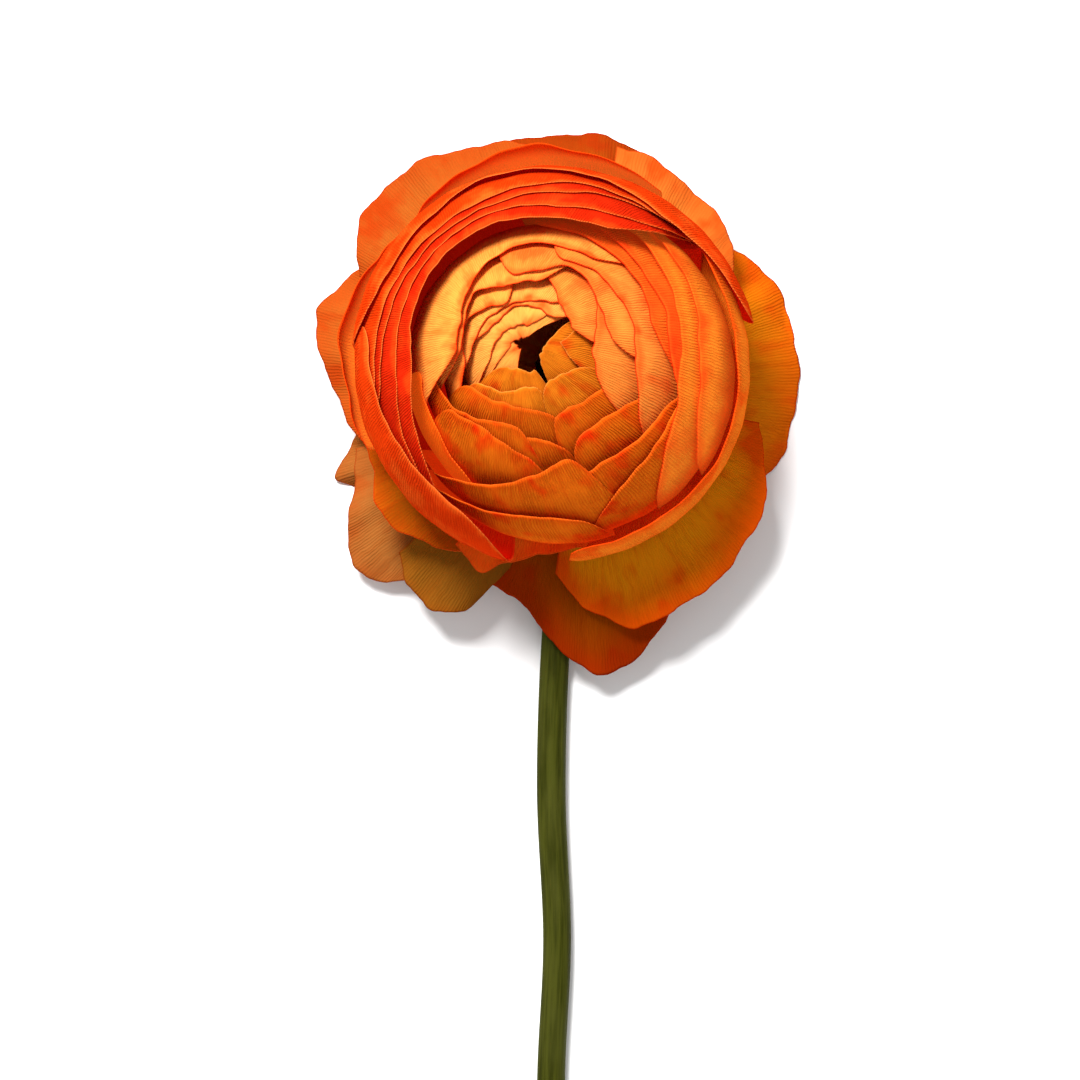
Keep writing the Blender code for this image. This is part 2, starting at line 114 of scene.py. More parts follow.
# Each closed petal: its shell, counted inwards, and its rim as (bearing, distance) from
# the eye of the bloom seen from above. Bearings run anticlockwise from +X, in degrees.
CLOSED_PETALS = {
    "outer_petal_3": (-4, [(-82, 37.4), (-70, 38.2), (-60, 38.8), (-44, 39.6), (-28, 40.0),
                           (-17, 39.6), (-6, 38.4), (8, 37.8), (24, 36.8), (36, 36.2)]),
    "ring_petal_1": (-7, [(8, 40.6), (18, 39.0), (28, 37.4), (46, 34.9), (62, 34.9),
                          (85, 34.3), (107, 33.6), (128, 31.4), (152, 30.6), (178, 32.0)]),
    "ring_petal_2": (-6, [(168, 30.7), (182, 30.6), (196, 30.4), (206, 30.3), (226, 30.9),
                          (246, 32.6), (258, 35.0)]),
    "ring_petal_3": (-5, [(38, 34.6), (52, 33.8), (64, 33.3), (76, 32.6), (88, 31.2),
                          (110, 29.4), (135, 28.7), (160, 28.9), (184, 29.6), (208, 31.4),
                          (220, 33.0)]),
    "ring_petal_4": (-4, [(44, 34.0), (60, 32.7), (80, 30.2), (100, 28.6), (120, 27.7),
                          (145, 27.4), (170, 27.7), (194, 28.8), (208, 31.0)]),
    "ring_petal_5": (-3, [(40, 31.6), (60, 29.2), (80, 27.3), (100, 27.0), (122, 26.3),
                          (148, 25.7), (172, 25.3), (192, 25.8), (212, 28.6), (224, 29.6),
                          (236, 31.6)]),
    "ring_petal_6": (-2, [(44, 27.6), (60, 25.9), (85, 24.9), (115, 24.6), (145, 23.9),
                          (175, 22.9), (188, 22.5), (202, 24.4), (214, 26.2), (228, 28.4),
                          (240, 31.0)]),
    "right_petal_1": (0, [(-36, 36.0), (-19, 32.5), (-6, 31.2), (4, 30.9), (25, 31.9),
                          (35, 31.3), (45, 31.8), (57, 32.5), (67, 34.0)]),
    "lower_petal_1": (1, [(226, 32.0), (240, 31.1), (255, 31.0), (270, 30.7), (285, 32.4),
                          (294, 34.6)]),
    "right_petal_2": (2, [(-51, 34.6), (-43, 32.2), (-32, 29.8), (-12, 27.6), (6, 27.5),
                          (25, 28.3), (45, 29.0), (62, 29.3), (74, 30.4)]),
    "lower_petal_2": (3, [(289, 34.4), (295, 32.0), (302, 30.2), (322, 28.6), (346, 28.8)]),
    "lower_petal_3": (4, [(219, 32.0), (226, 30.0), (236, 28.4), (247, 27.0), (263, 24.4),
                          (285, 20.8), (297, 21.4)]),
    "right_petal_3": (5, [(-20, 28.2), (-10, 26.2), (4, 25.3), (18, 25.7), (35, 25.2),
                          (50, 25.6), (66, 26.0), (80, 27.8)]),
    "lower_petal_4": (6, [(265, 30.4), (271, 28.8), (280, 26.8), (290, 25.6), (300, 24.1),
                          (314, 25.2), (331, 26.2), (349, 28.8)]),
    "right_petal_4": (7, [(-14, 26.4), (2, 24.0), (15, 22.5), (30, 23.5), (44, 23.3),
                          (62, 23.5), (80, 23.1), (98, 24.4)]),
    "lower_petal_5": (8, [(186, 20.8), (202, 22.0), (213, 22.4), (223, 23.6), (239, 25.8),
                          (250, 28.0)]),
    "left_petal_1": (9, [(40, 21.8), (56, 20.3), (82, 20.2), (103, 19.6), (122, 18.0),
                         (142, 16.0), (155, 14.6), (180, 14.0), (200, 15.6)]),
    "lower_petal_6": (10, [(209, 19.4), (222, 18.0), (237, 17.0), (252, 17.8), (268, 20.1),
                           (280, 23.4)]),
    "right_petal_5": (11, [(-42, 25.4), (-30, 22.4), (-11, 19.4), (4, 18.8), (19, 19.5),
                           (36, 18.5), (52, 19.0), (71, 17.6), (86, 19.0)]),
    "lower_petal_7": (12, [(288, 21.6), (298, 17.8), (314, 17.9), (330, 20.1), (342, 23.0)]),
    "right_petal_6": (13, [(-8, 16.6), (9, 14.5), (36, 14.7), (48, 16.2), (60, 17.0),
                           (72, 16.9), (84, 14.8), (102, 14.3), (116, 15.6)]),
    "lower_petal_8": (14, [(183, 20.4), (197, 18.8), (217, 18.1), (230, 16.4), (240, 14.9),
                           (258, 14.3), (272, 15.8)]),
    "lower_petal_9": (15, [(256, 17.2), (270, 16.0), (281, 17.2), (292, 19.8)]),
    "left_petal_2": (16, [(72, 12.6), (105, 12.9), (118, 13.2), (136, 15.6), (153, 13.8),
                          (178, 13.2), (198, 14.2)]),
    "right_petal_7": (17, [(-38, 15.6), (-20, 12.3), (0, 11.0), (14, 11.6), (40, 15.0),
                           (54, 17.6)]),
    "lower_petal_10": (18, [(280, 14.6), (291, 12.9), (301, 12.2), (327, 14.2), (340, 15.8),
                            (352, 18.8)]),
    "right_petal_8": (19, [(0, 11.4), (16, 9.6), (29, 8.4), (47, 8.8), (63, 10.4),
                           (77, 13.4), (88, 16.0)]),
    "lower_petal_11": (20, [(200, 14.4), (215, 12.7), (245, 11.0), (266, 10.7), (284, 12.0),
                            (298, 13.6)]),
    "left_petal_3": (21, [(106, 10.4), (120, 9.8), (141, 12.0), (153, 13.6), (174, 13.0),
                          (192, 12.9), (214, 14.8)]),
    "heart_petal_1": (21.5, [(276, 9.6), (286, 7.2), (300, 6.4), (319, 6.6), (334, 8.1),
                             (342, 9.9), (349, 12.4)]),
    "heart_petal_2": (23, [(202, 12.2), (224, 10.4), (245, 8.1), (260, 6.8), (276, 6.6),
                           (292, 8.6)]),
    "heart_petal_3": (24, [(50, 10.6), (63, 9.1), (90, 9.3), (121, 9.5), (148, 10.4),
                           (186, 11.4), (204, 13.2)]),
    "heart_petal_4": (25, [(-24, 8.8), (-6, 6.4), (17, 5.2), (26, 8.0), (33, 10.8)]),
    "heart_petal_5": (26, [(36, 8.8), (48, 7.0), (68, 7.2), (106, 8.8), (143, 8.5),
                           (160, 9.2), (178, 10.8)]),
    "heart_petal_6": (27, [(200, 8.8), (212, 6.3), (240, 4.8), (262, 4.8), (277, 3.8),
                           (288, 5.6), (298, 8.6)]),
    "heart_petal_7": (28, [(60, 7.6), (80, 5.8), (104, 5.6), (137, 6.7), (170, 8.0),
                           (190, 8.5), (214, 11.2)]),
    "heart_petal_8": (29, [(-72, 7.4), (-61, 3.4), (-35, 2.4), (5, 2.4), (22, 2.8),
                           (37, 5.4), (46, 9.0)]),
    "heart_petal_9": (30, [(66, 4.8), (79, 3.3), (112, 3.0), (140, 4.0), (160, 5.0),
                           (182, 5.3), (200, 6.6), (214, 9.2)]),
    "heart_petal_10": (31, [(148, 5.4), (162, 3.9), (182, 2.6), (206, 2.4), (222, 3.6),
                            (236, 5.4)]),
}

# Each flared petal: its shell and the outline to which it opens from the shell, as before
FLARED_PETALS = {
    "outer_petal_1": (-8.5, [(54, 38.0), (72, 38.9), (88, 38.8), (106, 37.4), (122, 34.8),
                            (134, 33.6)]),
    "outer_petal_2": (-9.0, [(140, 33.0), (147, 33.6), (154, 35.4), (164, 35.2), (177, 37.0),
                            (190, 35.6), (208, 34.6)]),
}

# Each open petal: its level, counted outwards, the height of its rim, how late it leaves
# the level of its claw, how far it arches up, and its outline from the eye as before.
OPEN_PETALS = {
    "inner_guard_1": (0, 25.0, 2.5, 1.5, [
        (248, 38.6), (257, 43.2), (262, 39.8), (271, 38.0), (282, 38.0), (296, 38.6),
        (312, 38.0)]),
    "inner_guard_2": (1.4, 22.0, 2.5, 0.8, [
        (208, 36.0), (216, 37.4), (223, 40.6), (231, 42.5), (243, 40.8), (256, 39.0),
        (268, 38.4)]),
    "guard_1": (3, 11.0, 2.2, 0.6, [
        (92, 39.6), (99, 40.6), (111, 41.1), (121, 42.3), (132, 42.2), (141, 41.6), (148, 39.6),
        (156, 36.0)]),
    "guard_2": (5, 0.13, 2.0, 1.0, [
        (50, 41.0), (56, 43.4), (64, 43.5), (75, 43.4), (84, 42.0), (92, 40.8), (104, 39.8)]),
    "guard_3": (3, 12.0, 2.2, 1.5, [
        (18, 40.0), (27, 42.7), (34, 43.6), (47, 43.3), (60, 43.2), (68, 42.4)]),
    "guard_4": (4, 0.12, 2.0, 2.5, [
        (-36, 46.0), (-26, 50.4), (-20, 51.3), (-8, 50.7), (4, 49.9), (14, 48.3), (22, 45.9),
        (30, 42.0)]),
    "guard_5": (2, 15.0, 2.0, 2.5, [
        (276, 41.0), (281, 49.0), (290, 55.4), (300, 55.7), (312, 55.0), (325, 53.0),
        (334, 49.0), (343, 44.4)]),
    "guard_6": (5, 8.0, 2.0, 1.8, [
        (256, 43.0), (266, 46.5), (271, 50.6), (276, 57.4), (281, 62.4), (288, 61.4),
        (295, 57.6), (304, 50.0)]),
    "guard_7": (3, 11.0, 2.0, 2.5, [
        (236, 45.0), (241, 50.0), (248, 52.1), (255, 50.8), (259, 45.8), (264, 40.0)]),
    "guard_8": (4.8, 5.0, 2.0, 0.9, [
        (208, 38.0), (218, 43.0), (224, 49.0), (230, 53.4), (237, 51.6), (244, 47.0),
        (250, 42.0)]),
    "guard_9": (5.6, 0.14, 2.0, 1.5, [
        (203, 36.0), (208, 40.0), (212, 44.4), (217, 42.0), (223, 38.0)]),
    "guard_10": (4, 8.0, 2.0, 0.8, [
        (150, 35.0), (160, 38.5), (168, 42.2), (174, 41.2), (184, 39.6), (194, 37.8),
        (206, 36.6), (214, 35.0)]),
}

SEPAL_BEARINGS = (20.0, 92.0, 164.0, 225.0, 308.0)
SEPAL_LENGTH = 21.0
SEPAL_DROOP = 5.0

# The middle of the stem, from its cut end to the neck under the bloom.
STEM_LINE = [(2.6, -206.0, 2.75), (2.9, -184.0, 2.8), (3.3, -160.0, 2.9), (3.4, -136.0, 3.0),
             (4.5, -111.0, 3.0), (3.4, -83.0, 2.95), (4.3, -54.0, 2.9), (6.6, -32.0, 3.0),
             (8.9, -19.0, 4.0), (9.8, -11.6, 6.2), (9.9, -8.2, 9.0)]

# These reach a little further over the eye than their rims say.
EYE_PETALS = ("heart_petal_6", "heart_petal_7", "heart_petal_8", "heart_petal_9",
              "heart_petal_10")
EYE_DRAW = 0.8
NEAREST_THE_EYE = 1.0


# ---------------------------------------------------------------- shader helpers


class Wire:
    """A socket that takes part in sums and products with numbers and other sockets."""

    def __init__(self, paint, socket):
        self.paint = paint
        self.socket = socket

    def maths(self, operation, *values):
        return self.paint.node("ShaderNodeMath", {"operation": operation}, dict(enumerate(values)))

    def __add__(self, other):
        return self.maths("ADD", self, other)

    def __radd__(self, other):
        return self.maths("ADD", other, self)

    def __sub__(self, other):
        return self.maths("SUBTRACT", self, other)

    def __rsub__(self, other):
        return self.maths("SUBTRACT", other, self)

    def __mul__(self, other):
        return self.maths("MULTIPLY", self, other)

    def __rmul__(self, other):
        return self.maths("MULTIPLY", other, self)


class Paint:
    """A material's nodes, with a Principled shader at the end."""

    SHEEN_ROUGHNESS = 0.22

    def __init__(self, name, roughness, specular=0.3, sheen=0.0, sheen_tint=(1, 1, 1)):
        self.material = bpy.data.materials.new(name)
        self.material.use_nodes = True
        self.tree = self.material.node_tree
        self.shader = self.tree.nodes["Principled BSDF"]
        self.shader.inputs["Roughness"].default_value = roughness
        self.shader.inputs["Specular IOR Level"].default_value = specular
        self.shader.inputs["Sheen Weight"].default_value = sheen
        self.shader.inputs["Sheen Roughness"].default_value = self.SHEEN_ROUGHNESS
        self.shader.inputs["Sheen Tint"].default_value = (*sheen_tint, 1.0)

    def node(self, kind, settings, values, output=0):
        """A node of a kind: its settings first, then the values or links of its sockets."""
        node = self.tree.nodes.new(kind)
        for key, value in settings.items():
            setattr(node, key, value)
        for key, value in values.items():
            if isinstance(value, Wire):
                self.tree.links.new(value.socket, node.inputs[key])
            else:
                node.inputs[key].default_value = value
        return Wire(self, node.outputs[output])

    def layer(self, name):
        """A UV map's two numbers, in millimetres."""
        place = self.node("ShaderNodeUVMap", {"uv_map": name}, {})
        apart = self.tree.nodes.new("ShaderNodeSeparateXYZ")
        self.tree.links.new(place.socket, apart.inputs[0])
        return Wire(self, apart.outputs[0]), Wire(self, apart.outputs[1])

    def tint(self, name):
        """A number that each petal holds, for patterns of its own."""
        return self.node("ShaderNodeAttribute", {"attribute_name": name}, {}, 2)

    def vector(self, x, y, z):
        return self.node("ShaderNodeCombineXYZ", {}, {0: x, 1: y, 2: z})

    def noise(self, across, along, seed, detail=2.0, roughness=0.5):
        return self.node("ShaderNodeTexNoise", {}, {
            "Vector": self.vector(across, along, seed), "Scale": 1.0, "Detail": detail,
            "Roughness": roughness})

    def fit(self, value, low, high, out_low=0.0, out_high=1.0, smooth=True):
        """A value from low to high, brought between two others and held there."""
        kind = "SMOOTHSTEP" if smooth else "LINEAR"
        return self.node("ShaderNodeMapRange", {"interpolation_type": kind}, {
            0: value, 1: low, 2: high, 3: out_low, 4: out_high})

    def mix(self, share, first, second):
        if not isinstance(first, Wire):
            first = (*first, 1.0)
        if not isinstance(second, Wire):
            second = (*second, 1.0)
        return self.node("ShaderNodeMix", {"data_type": "RGBA"},
                         {0: share, 6: first, 7: second}, 2)

    def give(self, name, value):
        self.tree.links.new(value.socket, self.shader.inputs[name])

    def bump(self, height, strength, distance):
        self.give("Normal", self.node("ShaderNodeBump", {}, {
            "Height": height, "Strength": strength, "Distance": distance}))

    def let_light_through(self, share, colour):
        """Part of the light goes through the sheet, in one colour all over it."""
        glow = self.node("ShaderNodeBsdfTranslucent", {}, {"Color": (*colour, 1.0)})
        both = self.node("ShaderNodeMixShader", {}, {
            0: share, 1: Wire(self, self.shader.outputs[0]), 2: glow})
        end = self.tree.nodes["Material Output"]
        self.tree.links.new(both.socket, end.inputs["Surface"])


# Radians of the ribs' wave for each millimetre across a petal, and how far they sway.
RIB_PACE = 10.2
RIB_SWAY = 9.0
RIB_FORK = 4.5
PETAL_ROUGHNESS = (0.48, 0.66)
RIB_DEPTH = 0.00028
THROUGH_TINT = (0.95, 0.05, 0.003)
THROUGH_SHARE = 0.35


def petal_paint(name, body, blush, rim, shade, blush_reach=4.0, blush_most=0.7, through=0.2,
                ribs=1.0, patches=0.5, hem_most=0.85, claw=(0.84, 0.30, 0.02),
                painted_glow=0.0, painted_glow_colour=(1.0, 0.02, 0.002), painted_glow_top=-1.0):
    """A petal's finish: fine ribs from claw to rim, red patches, a blush, a fine edge, and painted
    shade.

    The painted glow is painted light: emission that stands in for the faint light thin petals hand
    on to each other, low in the bloom.
    """
    paint = Paint(name, 0.6, specular=0.0)
    across, along = paint.layer("grain")
    from_rim, from_side = paint.layer("edge")
    tint = paint.tint("tint")
    drift = paint.noise(across * 0.10, along * 0.10, tint * 23.0, 3.0, 0.55)
    spots = paint.noise(across * 0.16, along * 0.13, tint * 61.0)
    sway = paint.noise(across * 0.3, along * 0.28, tint * 37.0)
    fork = paint.noise(across * 1.1, along * 0.35, tint * 17.0)
    streak = paint.noise(across * 0.9 + sway * 2.0, along * 0.12, tint * 9.0, 3.0, 0.6)

    # The ribs, stronger and weaker from place to place.
    phase = across * RIB_PACE + sway * RIB_SWAY + fork * RIB_FORK
    strength = paint.fit(drift, 0.35, 0.62, 0.25, 1.0)
    rib = phase.maths("SINE", phase) * 0.5 * strength + 0.5

    # Red patches, and a blush that runs in from the rim.
    near_rim = paint.fit(from_rim + (drift - 0.5) * 7.0, 0.0, blush_reach, 1.0, 0.0)
    flush = paint.fit(spots, 0.50, 0.72) * patches + near_rim * blush_most
    colour = paint.mix(paint.fit(flush, 0.0, 1.0, smooth=False), body, blush)

    # A yellower claw, painted shade round the waist and in the rib grooves, and a deeper colour in
    # the streaks.
    colour = paint.mix(paint.fit(along, -42.0, -6.0, 0.85, 0.0), colour, claw)
    # Painted shade round the waist, low in the bloom where little light reaches.
    waist = paint.fit(along, -5.0, 4.0, 1.0, 0.0) * paint.fit(along, -16.0, -6.0)
    waist_shade_and_streaks = waist + paint.fit(streak, 0.45, 0.75, 0.0, 0.45)
    colour = paint.mix(paint.fit(waist_shade_and_streaks, 0.0, 1.0, 0.0, 0.8, False), colour, shade)
    # Painted shade in the grooves between the ribs.
    groove_shade = paint.fit(rib, 0.05, 0.6, 1.0, 0.0)
    colour = paint.mix(groove_shade * 0.42 * ribs, colour, shade)

    # The hem along the rim and down the sides, in the rim colour: a red edge where that colour is
    # darker than the body, a painted highlight where it is paler.
    hem = paint.fit(from_rim, 0.05, 0.26, 1.0, 0.0)
    side_hem = paint.fit(from_side, 0.05, 0.35, 1.0, 0.0)
    colour = paint.mix(hem * hem_most, colour, rim)
    colour = paint.mix(side_hem * 0.6, colour, rim)
    paint.give("Base Color", colour)
    paint.give("Roughness", paint.fit(streak, 0.3, 0.7, *PETAL_ROUGHNESS, False))
    paint.bump(rib * ribs + streak * 0.8, 0.7, RIB_DEPTH)
    # Painted light: a glow of emission from the claw up to the glow's top, where little lamp light
    # reaches.
    if painted_glow:
        painted_glow_mask = paint.fit(along, painted_glow_top - 6.0, painted_glow_top, 1.0, 0.0)
        paint.give("Emission Color", paint.mix(painted_glow_mask, (0.0, 0.0, 0.0), painted_glow_colour))
        paint.shader.inputs["Emission Strength"].default_value = painted_glow
    if through:
        glow = [(1.0 - THROUGH_SHARE) * part + THROUGH_SHARE * red
                for part, red in zip(body, THROUGH_TINT)]
        paint.let_light_through(through, glow)
    return paint.material


# The glows of BALL and FLUSHED reach far up the petal: painted light on the outer right petals,
# which face away from the key lamp.
BALL = petal_paint("ball_petal", (0.91, 0.25, 0.018), (0.88, 0.07, 0.006), (0.62, 0.018, 0.002),
                   (0.74, 0.10, 0.005), through=0.25, painted_glow=0.13,
                   painted_glow_colour=(1.0, 0.30, 0.03), painted_glow_top=24.0)
RIGHT = petal_paint("right_petal", (0.93, 0.27, 0.038), (0.92, 0.085, 0.010),
                    (0.66, 0.020, 0.003), (0.84, 0.11, 0.007), blush_reach=2.2, blush_most=0.7,
                    patches=0.6, ribs=0.8)
FLUSHED = petal_paint("flushed_petal", (0.88, 0.17, 0.014), (0.88, 0.06, 0.006),
                      (0.62, 0.018, 0.002), (0.72, 0.07, 0.004), through=0.25, painted_glow=0.08,
                      painted_glow_colour=(1.0, 0.20, 0.02), painted_glow_top=24.0)
# The upper-left petals: a lighter, yellower body than the right side's, partly their own colour
# and partly painted light for the side that faces the key lamp, and a painted glow low on the
# petal.
LEFT = petal_paint("left_petal", (0.95, 0.36, 0.055), (0.92, 0.085, 0.010),
                   (0.66, 0.018, 0.002), (0.88, 0.15, 0.008), blush_reach=2.2, blush_most=0.75,
                   patches=0.5, ribs=0.6, painted_glow=0.12)
HEART = petal_paint("heart_petal", (0.96, 0.40, 0.070), (0.92, 0.10, 0.012),
                    (0.68, 0.025, 0.003), (0.90, 0.16, 0.010), blush_reach=2.2, blush_most=0.7,
                    patches=0.4, ribs=0.6)
# The amber heart petals: their pale rim colour is a painted highlight along their edges.
AMBER = petal_paint("amber_petal", (0.76, 0.20, 0.009), (0.68, 0.055, 0.003), (0.95, 0.36, 0.06),
                    (0.50, 0.065, 0.002), blush_reach=2.0, blush_most=0.2, patches=0.9, ribs=0.9,
                    hem_most=0.45)
# The lower petals: their pale rim colour is a painted highlight along their edges, and LOWER's
# glow low on the petal is painted light.
LOWER_LOOK = {
    "body": (0.82, 0.165, 0.006), "blush": (0.82, 0.035, 0.002), "rim": (0.90, 0.17, 0.018),
    "shade": (0.60, 0.045, 0.002), "blush_reach": 3.0, "blush_most": 0.35, "patches": 0.8,
    "ribs": 1.2, "hem_most": 0.4, "through": 0.25}
LOWER = petal_paint("lower_petal", **LOWER_LOOK, painted_glow=0.26, painted_glow_colour=(1.0, 0.09, 0.005),
                    painted_glow_top=4.0)
# lower_petal_5 lies in the shadow between the ring and the ball: the same look, with a stronger
# painted glow that reaches far up the petal.
SHADED = petal_paint("shaded_petal", **LOWER_LOOK, painted_glow=0.36,
                     painted_glow_colour=(1.0, 0.17, 0.010), painted_glow_top=27.0)
# The ring petals: their pale rim colour is a painted highlight along their edges.
RING = petal_paint("ring_petal", (0.78, 0.050, 0.003), (0.92, 0.13, 0.012), (0.93, 0.20, 0.035),
                   (0.60, 0.020, 0.001), blush_reach=2.4, blush_most=0.85, patches=0.6, ribs=1.0,
                   through=0.35)
# A darker copy of the ring's finish for the three inner ring petals: painted shade, with the same
# painted highlight along their edges.
RING_DEEP = petal_paint("deep_ring_petal", (0.66, 0.022, 0.003), (0.80, 0.065, 0.006),
                        (0.92, 0.18, 0.03), (0.54, 0.010, 0.001), blush_reach=2.0,
                        blush_most=0.8, patches=0.5, ribs=1.0, through=0.3)
# The ring petals' inner faces: the dark red body is painted shade for the gap between ring and
# ball, the pale rim a painted highlight and the glow painted light.
RING_INSIDE = petal_paint("ring_inside", (0.70, 0.014, 0.002), (0.66, 0.010, 0.001),
                          (0.93, 0.12, 0.012), (0.56, 0.004, 0.0005), blush_reach=2.0, ribs=0.7,
                          through=0.4, painted_glow=0.14)
OUTER = petal_paint("outer_petal", (0.90, 0.22, 0.014), (0.88, 0.09, 0.005),
                    (0.80, 0.05, 0.003), (0.80, 0.12, 0.006), ribs=1.1, patches=0.9,
                    through=0.2)
# The flared petals' inner faces, which lie in shadow: a strong glow of painted light, and a
# lighter colour in their painted shade round the waist.
OUTER_INSIDE = petal_paint("outer_inside", (0.90, 0.22, 0.014), (0.88, 0.09, 0.005),
                           (0.80, 0.05, 0.003), (0.88, 0.20, 0.012), ribs=0.8, through=0.25,
                           painted_glow=0.42, painted_glow_colour=(1.0, 0.26, 0.03), painted_glow_top=5.0)
# The guards' finishes differ in their own colour, and in brightness partly as painted light and
# shade: each guard is made lighter or darker for the light where it lies.
OCHRE = petal_paint("ochre_guard", (0.60, 0.165, 0.003), (0.62, 0.075, 0.002),
                    (0.54, 0.03, 0.001), (0.47, 0.065, 0.001), blush_reach=9.0, through=0.15,
                    patches=0.5, ribs=0.5)
FLAME = petal_paint("flame_guard", (0.28, 0.055, 0.003), (0.30, 0.027, 0.002),
                    (0.34, 0.016, 0.001), (0.30, 0.02, 0.001), blush_reach=9.0, through=0.15,
                    patches=0.8, ribs=0.4)
PALE = petal_paint("pale_guard", (0.40, 0.095, 0.011), (0.40, 0.045, 0.004),
                   (0.38, 0.026, 0.002), (0.36, 0.035, 0.002), blush_reach=7.0, blush_most=0.6,
                   through=0.15, patches=0.7, ribs=0.4)
SUNLIT = petal_paint("sunlit_guard", (0.54, 0.155, 0.020), (0.52, 0.065, 0.006),
                     (0.48, 0.035, 0.003), (0.46, 0.045, 0.002), blush_reach=7.0, blush_most=0.6,
                     through=0.15, patches=0.8, ribs=0.4)
DUSK = petal_paint("dusk_guard", (0.66, 0.23, 0.003), (0.60, 0.06, 0.001),
                   (0.54, 0.02, 0.001), (0.44, 0.06, 0.0006), blush_reach=11.0, blush_most=0.95,
                   through=0.12, patches=0.4, ribs=0.5)
UMBER = petal_paint("umber_guard", (0.26, 0.045, 0.0006), (0.27, 0.018, 0.0005),
                    (0.30, 0.012, 0.0005), (0.20, 0.02, 0.0004), blush_reach=11.0,
                    blush_most=0.95, through=0.12, patches=0.4, ribs=0.5)
RUST = petal_paint("rust_guard", (0.40, 0.10, 0.003), (0.42, 0.055, 0.002), (0.46, 0.03, 0.001),
                   (0.36, 0.03, 0.001), blush_reach=5.0, blush_most=0.5, patches=0.3, ribs=0.5)
CREAM = petal_paint("cream_guard", (0.25, 0.088, 0.007), (0.26, 0.05, 0.003), (0.26, 0.03, 0.002),
                    (0.20, 0.05, 0.002), blush_reach=3.0, blush_most=0.3, patches=0.2, ribs=0.6)
PEACH = petal_paint("peach_guard", (0.34, 0.115, 0.022), (0.36, 0.07, 0.010), (0.38, 0.05, 0.006),
                    (0.26, 0.05, 0.004), blush_reach=5.0, blush_most=0.4, ribs=0.6)
BACK = petal_paint("petal_back", (0.60, 0.17, 0.02), (0.58, 0.08, 0.008), (0.54, 0.045, 0.004),
                   (0.44, 0.12, 0.01), blush_reach=8.0, blush_most=0.5, through=0.15, ribs=0.6)


def stem_paint():
    """Downy olive green with fine ribs along it."""
    paint = Paint("stem_skin", 0.6, specular=0.02, sheen=0.25, sheen_tint=(0.8, 0.85, 0.4))
    around, along = paint.layer("grain")
    ribs = paint.noise(around * 1.3, along * 0.05, 0.0, 3.0, 0.6)
    patches = paint.noise(around * 0.2, along * 0.06, 0.0, 3.0)
    colour = paint.mix(paint.fit(ribs, 0.35, 0.65), (0.018, 0.020, 0.0012), (0.038, 0.041, 0.004))
    colour = paint.mix(paint.fit(patches, 0.4, 0.7, 0.0, 0.5), colour, (0.05, 0.052, 0.008))
    paint.give("Base Color", colour)
    paint.give("Roughness", paint.fit(ribs, 0.3, 0.7, 0.5, 0.7, False))
    down = paint.noise(around * 5.0, along * 2.2, 0.0)
    paint.bump(ribs * 0.8 + down * 0.25, 0.7, 0.0003)
    return paint.material


def sepal_paint():
    """Matte green with a paler edge."""
    paint = Paint("sepal_skin", 0.65, specular=0.2, sheen=0.4, sheen_tint=(0.85, 0.9, 0.65))
    across, along = paint.layer("grain")
    from_side = paint.layer("edge")[1]
    streak = paint.noise(across * 1.2, along * 0.15, 0.0, 3.0)
    colour = paint.mix(paint.fit(streak, 0.35, 0.65), (0.09, 0.14, 0.02), (0.17, 0.21, 0.05))
    edge = paint.fit(from_side, 0.0, 1.8, 1.0, 0.0)
    colour = paint.mix(edge * 0.6, colour, (0.36, 0.34, 0.12))
    paint.give("Base Color", colour)
    paint.bump(streak, 0.5, 0.0003)
    return paint.material


OBJECT_PLACE = 3


def carpel_paint():
    """Near black, finely knobbed."""
    paint = Paint("carpel_knob", 0.6, specular=0.3)
    place = paint.node("ShaderNodeTexCoord", {}, {}, OBJECT_PLACE)
    knobs = paint.node("ShaderNodeTexVoronoi", {}, {"Vector": place, "Scale": 1100.0})
    colour = paint.mix(paint.fit(knobs, 0.0, 0.6), (0.05, 0.03, 0.012), (0.008, 0.006, 0.004))
    paint.give("Base Color", colour)
    paint.bump(knobs * -1.0, 0.8, 0.0004)
    return paint.material


STEM = stem_paint()
SEPAL = sepal_paint()
CARPEL = carpel_paint()


# ---------------------------------------------------------------- shapes


def lean(height):
    """The axis of the bloom at a height."""
    rise = height - EYE_HEIGHT
    return LEAN_X * rise, LEAN_Y * rise


def receptacle_radius(height):
    """The radius of the stem's swollen end at a height."""
    share = np.clip((height - RECEPTACLE_FOOT) / (RECEPTACLE_TOP - RECEPTACLE_FOOT), 0.0, 1.0)
    swell = RECEPTACLE_SWELL * np.sin(math.pi * np.minimum(share * 1.4, 1.0))
    drop = RECEPTACLE_FOOT_RADIUS - RECEPTACLE_TOP_RADIUS
    return RECEPTACLE_FOOT_RADIUS - drop * share + swell * (1.0 - share)


def shell_radius(shell):
    """Shells from 0 inwards are the ball's, and stand a little clear of the ring's."""
    return BALL_RADIUS - RADIUS_STEP * shell - (BALL_TUCK if shell >= 0 else 0.0)


def shell_shift(shell, turn):
    """How far a ball shell lies to the right and down of the bloom's axis."""
    return (BALL_TUCK * math.sqrt(0.5) if shell >= 0 else 0.0) * np.sin(turn) ** 3


